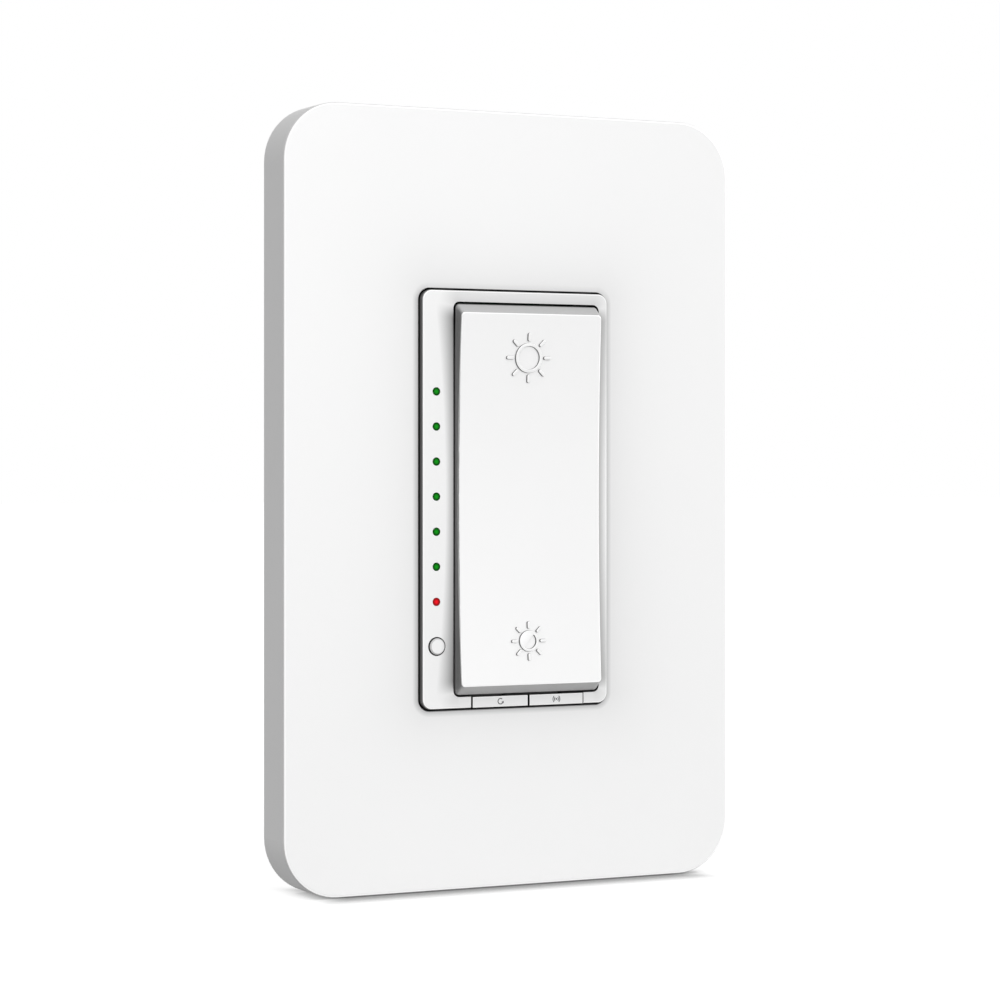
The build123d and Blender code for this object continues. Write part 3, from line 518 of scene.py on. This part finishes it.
def moulded_plastic(
        name, colour, roughness=0.38, grain=0.35, depth=0.004, light=None, highlight_left=highlight_all_round):
    """Satin moulded plastic with a faint cloud in its tone and a fine grain; a light share, if given, is
    painted as soft shade into its base colour, with a highlight painted as emission on its rounded front
    edges.
    """
    finish = new_finish(name)
    place = finish.place()
    cloud = finish.noise(place, 14.0)
    fine = finish.noise(place, grain, 3.0, 0.6)
    base = finish.blend(cloud, times(colour, 0.985), colour)
    sockets = {
        "Base Color": base,
        "Roughness": roughness + 0.08 * cloud,
        "IOR": 1.46,
        "Normal": finish.relief(fine, depth),
    }
    if light:
        black = (0.0, 0.0, 0.0)
        # Painted shade: the light share darkens the base colour towards black.
        sockets["Base Color"] = finish.blend(light(finish, place), black, base)
        # Painted highlight: emission on the rounded front edges.
        highlight = painted_highlight_on_edge(finish, highlight_left)
        sockets["Emission Color"] = finish.blend(highlight, black, times(colour, painted_edge_highlight))
        sockets["Emission Strength"] = 1.0
    return finish.surface(sockets)


def plated_metal(name, colour, roughness=0.3, streak=(0.2, 6.0, 0.2), depth=0.003):
    """Metal with short streaks, longest along the largest number of streak."""
    finish = new_finish(name)
    place = finish.place()
    stretched = place * tuple(1 / length for length in streak)
    grain = finish.noise(stretched, 1.0, 4.0, 0.6)
    stain = finish.noise(place, 5.0)
    return finish.surface({
        "Base Color": finish.blend(stain, times(colour, 0.86), colour),
        "Metallic": 1.0,
        "Roughness": roughness + 0.16 * grain,
        "Normal": finish.relief(grain, depth),
    })


def grained_nylon(name, colour):
    """Dark filled nylon with a spark-eroded grain and pale rubbed spots."""
    finish = new_finish(name)
    place = finish.place()
    pits = finish.noise(place, 0.32, 4.0, 0.65)
    fibre = finish.noise(place * (0.35, 1.0, 0.5), 0.9, 5.0, 0.7)
    return finish.surface({
        "Base Color": finish.blend(fibre.rise(0.45, 0.75), colour, times(colour, 1.9)),
        "Roughness": 0.46 + 0.22 * pits,
        "IOR": 1.53,
        "Normal": finish.relief(pits, 0.018),
    })


def coated_board(name, colour):
    """Circuit board: solder mask over paler copper tracks and tinned dots."""
    finish = new_finish(name)
    place = finish.place()
    tracks = finish.add("ShaderNodeTexBrick", {"offset": 0.37, "squash": 0.6}, {
        "Vector": place, "Scale": 0.42, "Mortar Size": 0.06, "Mortar Smooth": 0.1,
    }, output="Fac")
    dots = finish.add("ShaderNodeTexVoronoi", {"feature": "F1"}, {"Vector": place, "Scale": 0.45})
    tin = dots.fall(0.10, 0.14)
    weave = finish.noise(place, 0.5)
    masked = finish.blend(tracks, colour, times(colour, 1.7))
    return finish.surface({
        "Base Color": finish.blend(tin, masked, tinned_copper),
        "Roughness": 0.32 + 0.1 * weave,
        "Metallic": tin,
        "Normal": finish.relief(tracks + weave * 0.3, 0.02),
    })


def lens_light(name, lens, rim, centre, radius):
    """A lit clear lens: bright in the middle and darker towards its rim."""
    finish = new_finish(name)
    offset = finish.parts(finish.place() - tuple(centre))
    away = (offset[0] * offset[0] + offset[2] * offset[2]).root()
    edge = away.rise(lens_core * radius, lens_edge * radius)
    return finish.surface({
        "Base Color": finish.blend(edge, times(lens, lens_reflection), times(rim, lens_reflection)),
        "Roughness": 0.16 + 0.06 * finish.noise(finish.place(), 0.3),
        "IOR": 1.49,
        "Specular IOR Level": 0.05,
        "Emission Color": finish.blend(edge, lens, rim),
        "Emission Strength": lens_glow,
    })


# Pieces made here

def dressed(node, material):
    """Gives a CAD node that keeps its shape a better finish."""
    for slot in frame["nodes"][node].material_slots:
        slot.material = material


def give(piece, body, material, replaced=()):
    """Hangs a new piece on its body and gives it its finish."""
    piece.data.materials.clear()
    piece.data.materials.append(material)
    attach(piece, body)
    if replaced:
        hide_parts(*replaced)


def arc_points(centre, radius, start, end, count):
    """Points on an arc, from one angle to another, ends included."""
    angles = [radians(start + (end - start) * step / count) for step in range(count + 1)]
    return [(centre[0] + radius * cos(angle), centre[1] + radius * sin(angle)) for angle in angles]


def circle(centre, radius, count=64):
    return arc_points(centre, radius, 0, 360, count)[:-1]


def stadium(start, end, width, count=10):
    """A bar with round ends from one point to another."""
    along = (Vector(end) - Vector(start)).normalized()
    angle = along.angle_signed(Vector((1, 0))) * 180 / pi
    first = arc_points(end, width / 2, angle - 90, angle + 90, count)
    return first + arc_points(start, width / 2, angle + 90, angle + 270, count)


def stroke(centre, radius, width, start, end, count=20):
    """A curved line with square ends."""
    outer = arc_points(centre, radius + width / 2, start, end, count)
    inner = arc_points(centre, radius - width / 2, end, start, count)
    return outer + inner


def finished_piece(name, work, sharp=sharp_angle):
    """Turns a bmesh into an object with smooth faces and sharp edges."""
    bmesh.ops.recalc_face_normals(work, faces=work.faces)
    mesh = bpy.data.meshes.new(name)
    work.to_mesh(mesh)
    work.free()
    mesh.shade_smooth()
    mesh.set_sharp_from_angle(angle=radians(sharp))
    piece = bpy.data.objects.new(name, mesh)
    bpy.context.collection.objects.link(piece)
    return piece


def raised(name, outlines, front_of, height, edge, sink):
    """A flat sign raised from a face whose level at X and Z is front_of; outlines inside others are holes."""
    drawing = bpy.data.curves.new(name, "CURVE")
    drawing.dimensions = "2D"
    drawing.fill_mode = "BOTH"
    drawing.extrude = (height + sink) / 2 - edge
    drawing.bevel_depth = edge
    drawing.bevel_resolution = 2
    drawing.offset = -edge
    for outline in outlines:
        spline = drawing.splines.new("POLY")
        spline.points.add(len(outline) - 1)
        for point, (x, z) in zip(spline.points, outline):
            point.co = (x, z, 0.0, 1.0)
        spline.use_cyclic_u = True
    source = bpy.data.objects.new(name + "_drawing", drawing)
    bpy.context.collection.objects.link(source)
    ready = source.evaluated_get(bpy.context.evaluated_depsgraph_get())
    mesh = bpy.data.meshes.new_from_object(ready)
    bpy.data.objects.remove(source)
    middle = (height - sink) / 2
    for vertex in mesh.vertices:
        x, z, out = vertex.co
        vertex.co = Vector((x, front_of(x, z) - middle - out, z)) * mm
    work = bmesh.new()
    work.from_mesh(mesh)
    bpy.data.meshes.remove(mesh)
    bmesh.ops.remove_doubles(work, verts=work.verts, dist=weld_distance * mm)
    return finished_piece(name, work, sign_sharp_angle)


def turned(name, x, z, rings):
    """A closed solid turned round an axis along Y; a ring is its Y, its radius and its thread's depth."""
    work = bmesh.new()
    loops = []
    for y, radius, depth in rings:
        loop = []
        for step in range(screw_sides):
            angle = tau * step / screw_sides
            flank = abs(2.0 * ((y / thread_pitch + step / screw_sides) % 1.0) - 1.0)
            out = radius - depth * min(max(thread_slope * flank - thread_land, 0.0), 1.0)
            loop.append(work.verts.new(Vector((x + out * cos(angle), y, z + out * sin(angle))) * mm))
        loops.append(loop)
    for first, second in zip(loops, loops[1:]):
        for step in range(screw_sides):
            after = (step + 1) % screw_sides
            work.faces.new((first[step], first[after], second[after], second[step]))
    work.faces.new(loops[0])
    work.faces.new(loops[-1])
    return finished_piece(name, work)


def thread_rings(start, end, radius):
    """Rings of a thread that begins softly at its start and ends in a small cone."""
    count = round((end - start) / thread_pitch * thread_steps)
    rings = []
    for step in range(count + 1):
        y = start + (end - start) * step / count
        cone = max(y - (end - thread_pitch), 0.0) / thread_pitch
        depth = thread_depth * min((y - start) / thread_pitch, 1.0, 1.0 - cone)
        rings.append((y, radius - thread_depth * cone, depth))
    return rings


def box_piece(name, low, high):
    """A rectangular solid between two corners in millimetres."""
    work = bmesh.new()
    bmesh.ops.create_cube(work, size=1.0)
    for vertex in work.verts:
        share = vertex.co + Vector((0.5, 0.5, 0.5))
        vertex.co = Vector(low[n] + (high[n] - low[n]) * share[n] for n in range(3)) * mm
    return finished_piece(name, work)


def cut_from(piece, tools):
    """Takes the tools out of a piece."""
    for tool in tools:
        cut = piece.modifiers.new("cut", "BOOLEAN")
        cut.operation = "DIFFERENCE"
        cut.solver = "EXACT"
        cut.object = tool
    ready = piece.evaluated_get(bpy.context.evaluated_depsgraph_get())
    mesh = bpy.data.meshes.new_from_object(ready)
    piece.modifiers.clear()
    piece.data = mesh
    mesh.shade_smooth()
    mesh.set_sharp_from_angle(angle=radians(sharp_angle))
    for tool in tools:
        bpy.data.objects.remove(tool)
    return piece


def joined(name, pieces):
    """One piece made of several."""
    work = bmesh.new()
    for piece in pieces:
        work.from_mesh(piece.data)
        bpy.data.objects.remove(piece)
    return finished_piece(name, work)


def sign_rays(centre, start, end, width):
    """Short rays with round ends, all round a brightness sign."""
    rays = []
    middle = Vector(centre)
    for number in range(ray_count):
        angle = tau * number / ray_count
        way = Vector((cos(angle), sin(angle)))
        rays.append(stadium(middle + way * (start + width / 2), middle + way * (end - width / 2), width))
    return rays


# Camera, light and floor

def make_camera():
    data = bpy.data.cameras.new("camera")
    data.lens = camera_focal
    data.sensor_width = camera_sensor
    data.shift_y = camera_drop
    data.clip_start = camera_near
    data.clip_end = camera_far
    camera = bpy.data.objects.new("camera", data)
    camera.location = Vector(camera_place) * mm
    camera.rotation_euler = (radians(90), 0, radians(camera_turn))
    bpy.context.collection.objects.link(camera)
    bpy.context.scene.camera = camera


def seen_directly(finish):
    """1 where the camera, a mirror or clear glass looks, and 0 where light is gathered."""
    path = finish.add("ShaderNodeLightPath", output="Is Camera Ray")
    return path.most(path.out("Is Glossy Ray")).most(path.out("Is Transmission Ray"))


def make_world():
    world = bpy.data.worlds.new("sky")
    bpy.context.scene.world = world
    finish = Finish(world)
    strength = between(sky_for_surfaces, seen_directly(finish))
    sky = finish.add("ShaderNodeBackground", None, {"Color": (1.0, 1.0, 1.0), "Strength": strength})
    finish.add("ShaderNodeOutputWorld", None, {"Surface": sky})


def make_key_light():
    turn = radians(key_turn)
    height = radians(key_height)
    place = Vector((
        key_distance * sin(turn) * cos(height),
        -key_distance * cos(turn) * cos(height),
        key_distance * sin(height),
    ))
    data = bpy.data.lights.new("key", "AREA")
    data.shape = "DISK"
    data.size = key_size * mm
    data.energy = key_power
    lamp = bpy.data.objects.new("key", data)
    lamp.location = place * mm
    lamp.rotation_euler = (-place).to_track_quat("-Z", "Y").to_euler()
    bpy.context.collection.objects.link(lamp)


def floor_material():
    """A pale floor: plain white to the eye, with a short soft shadow under what stands on it."""
    finish = new_finish("floor")
    x = finish.parts(finish.place())[0]
    open_sky, contact = [
        finish.add("ShaderNodeAmbientOcclusion", {"samples": 16}, {"Distance": reach * mm}, output="AO")
        for reach in (floor_shadow_reach, floor_contact_reach)
    ]
    beyond = x.size().rise(floor_shadow_half - floor_shadow_fade, floor_shadow_half)
    clear = open_sky.rise(*floor_shadow_range, "LINEAR").most(beyond)
    strength = floor_shadow_light + floor_added_light * clear
    shown = finish.add("ShaderNodeEmission", None, {"Color": (1.0, 1.0, 1.0), "Strength": strength})
    grey = finish.blend(contact.rise(*floor_contact_range, "LINEAR"), floor_contact_grey, floor_open_grey)
    seen = finish.add("ShaderNodeBsdfDiffuse", None, {"Color": grey})
    both = finish.add("ShaderNodeAddShader", None, {0: shown, 1: seen})
    plain = finish.add("ShaderNodeBsdfDiffuse", None, {"Color": floor_bounce})
    mixed = finish.add("ShaderNodeMixShader", None, {0: seen_directly(finish), 1: plain, 2: both})
    finish.add("ShaderNodeOutputMaterial", None, {"Surface": mixed})
    return finish.owner


def make_floor():
    level = cad_bounds[0][2]
    mesh = bpy.data.meshes.new("floor")
    half = floor_half_width * mm
    corners = [(-half, -half), (half, -half), (half, half), (-half, half)]
    mesh.from_pydata([(x, y, level) for x, y in corners], [], [(0, 1, 2, 3)])
    mesh.materials.append(floor_material())
    floor = bpy.data.objects.new("floor", mesh)
    bpy.context.collection.objects.link(floor)


make_camera()
make_world()
make_key_light()
make_floor()

scene = bpy.context.scene
scene.view_settings.view_transform = "Standard"

# Places of the front pieces, from the frame
frame_low, frame_high = (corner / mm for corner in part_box("front_frame"))
rocker_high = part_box("rocker")[1] / mm
opening_low = frame_low + Vector((column_width, 0.0, end_bar))
opening_high = frame_high - Vector((right_bar, 0.0, end_bar))
frame_front = frame_low.y
face_end = rocker_high.z - rocker_bevel

# CAD nodes that keep their shape, by material slot

finishes = {
    "cover_plastic": moulded_plastic("cover_plastic", cover_white, light=light_on_cover),
    "frame_plastic": moulded_plastic("frame_plastic", frame_white, light=light_on_frame),
    "rocker_plastic": moulded_plastic(
        "rocker_plastic", cover_white, roughness=0.34, light=light_on_rocker, highlight_left=-0.35),
    "button_plastic": moulded_plastic("button_plastic", frame_white, roughness=0.34, light=light_on_key),
    "inner_plastic": moulded_plastic("inner_plastic", (0.78, 0.78, 0.76), 0.5, 0.3, 0.01),
    "led_body": moulded_plastic("led_body", (0.82, 0.80, 0.70), 0.45),
    "housing_plastic": grained_nylon("housing_plastic", (0.018, 0.018, 0.020)),
    "heat_sink_metal": plated_metal("heat_sink_metal", (0.60, 0.61, 0.62), 0.42, (0.12, 0.12, 9.0)),
    "spring_steel": plated_metal("spring_steel", (0.66, 0.66, 0.68), 0.22),
    "screw_steel": plated_metal("screw_steel", (0.66, 0.67, 0.70), 0.28, (0.8, 0.8, 0.8), 0.006),
    "white_screw": moulded_plastic("white_screw", (0.85, 0.85, 0.85), 0.25, 0.6, 0.004),
    "fibre_washer": moulded_plastic("fibre_washer", (0.22, 0.05, 0.02), 0.6, 0.25, 0.02),
    "terminal_brass": plated_metal("terminal_brass", (0.72, 0.52, 0.22), 0.3),
    "terminal_screw_metal": plated_metal("terminal_screw_metal", (0.78, 0.58, 0.26), 0.24),
    "earth_screw": plated_metal("earth_screw", (0.02, 0.26, 0.09), 0.3),
    "circuit_board": coated_board("circuit_board", (0.012, 0.13, 0.04)),
    "shield_tin": plated_metal("shield_tin", (0.72, 0.72, 0.73), 0.26, (0.5, 0.5, 3.0)),
    "chip_black": grained_nylon("chip_black", (0.012, 0.012, 0.013)),
    "insulator_film": moulded_plastic("insulator_film", (0.55, 0.50, 0.34), 0.3, 2.0, 0.01),
    "switch_body": grained_nylon("switch_body", (0.02, 0.02, 0.02)),
    "switch_plunger": moulded_plastic("switch_plunger", (0.72, 0.70, 0.62), 0.45),
    "header_plastic": grained_nylon("header_plastic", (0.016, 0.016, 0.016)),
    "film_yellow": moulded_plastic("film_yellow", (0.70, 0.42, 0.03), 0.25, 1.2, 0.01),
    "can_sleeve": moulded_plastic("can_sleeve", (0.012, 0.014, 0.06), 0.2, 1.5, 0.006),
    "ferrite": moulded_plastic("ferrite", (0.03, 0.10, 0.05), 0.4, 0.4, 0.02),
    "copper_wire": plated_metal("copper_wire", (0.72, 0.28, 0.10), 0.25),
    "fuse_glass": moulded_plastic("fuse_glass", (0.70, 0.74, 0.74), 0.1, 1.5, 0.002),
    "disc_blue": moulded_plastic("disc_blue", (0.008, 0.05, 0.30), 0.3, 0.6, 0.02),
}
for part in frame["record"]["subparts"]:
    if part["material_slot"] in finishes:
        dressed(part["node"], finishes[part["material_slot"]])

# Light pipes, green ones and a red one at the bottom

for number in range(1, pipe_count + 1):
    node = f"light_pipe_{number}"
    low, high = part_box(node)
    centre = (low + high) / 2 / mm
    lens, rim = (red_lens, red_rim) if number == pipe_count else (green_lens, green_rim)
    dressed(node, lens_light(f"lens_{number}", lens, rim, centre, pipe_radius))

# Raised signs on the rocker: a sun at its upper end, and a smaller half sun at its lower end

def rocker_face(x, z):
    """Level of the rocker's concave face."""
    sag = rocker_end_rise - rocker_middle_rise
    radius = (face_end * face_end + sag * sag) / (2 * sag)
    centre = frame_front - rocker_middle_rise - radius
    return centre + sqrt(radius * radius - z * z)


sign_finish = moulded_plastic("sign_plastic", cover_white, roughness=0.34, light=light_on_sign)
middle = (sign_x, large_sign_z)
outlines = [circle(middle, large_sign_outer), circle(middle, large_sign_inner)]
outlines += sign_rays(middle, large_ray_start, large_ray_end, large_ray_width)
bright = raised("brighter_sign", outlines, rocker_face, sign_height, sign_edge, sign_sink)
give(bright, "rocker", sign_finish)

middle = (sign_x, small_sign_z)
hole = arc_points(middle, small_sign_inner, small_sign_turn, small_sign_turn - 180, 32)
outlines = [circle(middle, small_sign_outer), hole]
outlines += sign_rays(middle, small_ray_start, small_ray_end, small_ray_width)
dim = raised("dimmer_sign", outlines, rocker_face, sign_height, sign_edge, sign_sink)
give(dim, "rocker", sign_finish)

# Printed marks on the keys: a turning arrow on the left one, a dot with waves on the right one

def printed(name, outlines):
    """A thin printed mark on the front of the keys."""
    return raised(name, outlines, lambda x, z: frame_front, mark_height, mark_edge, mark_sink)


def turning_arrow(centre, radius, width):
    """Most of a circle, with an arrowhead at its end."""
    outer = arc_points(centre, radius + width / 2, arrow_start, arrow_end, 32)
    inner = arc_points(centre, radius - width / 2, arrow_end, arrow_start, 32)
    angle = radians(arrow_end)
    way = Vector((cos(angle), sin(angle)))
    ahead = Vector((-sin(angle), cos(angle)))
    neck = Vector(centre) + way * radius
    tip = [neck + way * arrow_head, neck + ahead * arrow_point * arrow_head, neck - way * arrow_head]
    return outer + [tuple(point) for point in tip] + inner


def key_middle(node):
    """X and Z of the middle of a key's front."""
    low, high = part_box(node)
    return (low.x + high.x) / 2 / mm, (frame_low.z + opening_low.z) / 2


mark_ink = moulded_plastic("mark_ink", mark_grey, 0.5, 0.2, 0.002)
arrow = turning_arrow(key_middle("reset_key"), arrow_radius, arrow_width)
give(printed("turning_arrow", [arrow]), "reset_key", mark_ink)

middle = key_middle("pair_key")
waves = [circle(middle, dot_radius, 24)]
for radius in wave_radii:
    for start in (-wave_half_angle, 180 - wave_half_angle):
        waves.append(stroke(middle, radius, wave_width, start, start + 2 * wave_half_angle))
give(printed("pairing_waves", waves), "pair_key", mark_ink)

# Screws with cut threads, in place of the plain ones

def screw_middles(node):
    """X and Z of a node's two screws, one above the other, and the Y of their fronts and tips."""
    low, high = (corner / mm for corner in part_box(node))
    half = (high.x - low.x) / 2
    middle = (low.x + high.x) / 2
    return [(middle, low.z + half), (middle, high.z - half)], low.y, high.y


def driver_cut(name, x, z, front, half_x, half_z):
    """What a driver's slot takes out of a screw head."""
    low = (x - half_x, front - 1, z - half_z)
    high = (x + half_x, front + driver_depth, z + half_z)
    return box_piece(name, low, high)


def wall_screw(x, z, front, tip):
    """A pan head with a crossed slot, a thin neck and a long thread."""
    rings = [(front + depth, radius, 0) for depth, radius in pan_head]
    screw = turned("wall_screw", x, z, rings + thread_rings(front + pan_thread_start, tip, screw_radius))
    slot = driver_cut("slot", x, z, front, slot_half_length, driver_slot / 2)
    cross = driver_cut("cross", x, z, front, driver_slot / 2, cross_half_length)
    return cut_from(screw, [slot, cross])


def cover_screw(x, z, front, tip):
    """A flat head with a slot and a short thread."""
    rings = [(front + depth, radius, 0) for depth, radius in flat_head]
    screw = turned("cover_screw", x, z, rings + thread_rings(front + flat_thread_start, tip, screw_radius))
    return cut_from(screw, [driver_cut("slot", x, z, front, slot_half_length, driver_slot / 2)])


middles, front, tip = screw_middles("mounting_screws")
screws = joined("wall_screws", [wall_screw(x, z, front, tip) for x, z in middles])
give(screws, "device", finishes["screw_steel"], ["mounting_screws"])

middles, front, tip = screw_middles("plate_screws")
screws = joined("cover_screws", [cover_screw(x, z, front, tip) for x, z in middles])
give(screws, "device", finishes["white_screw"], ["plate_screws"])
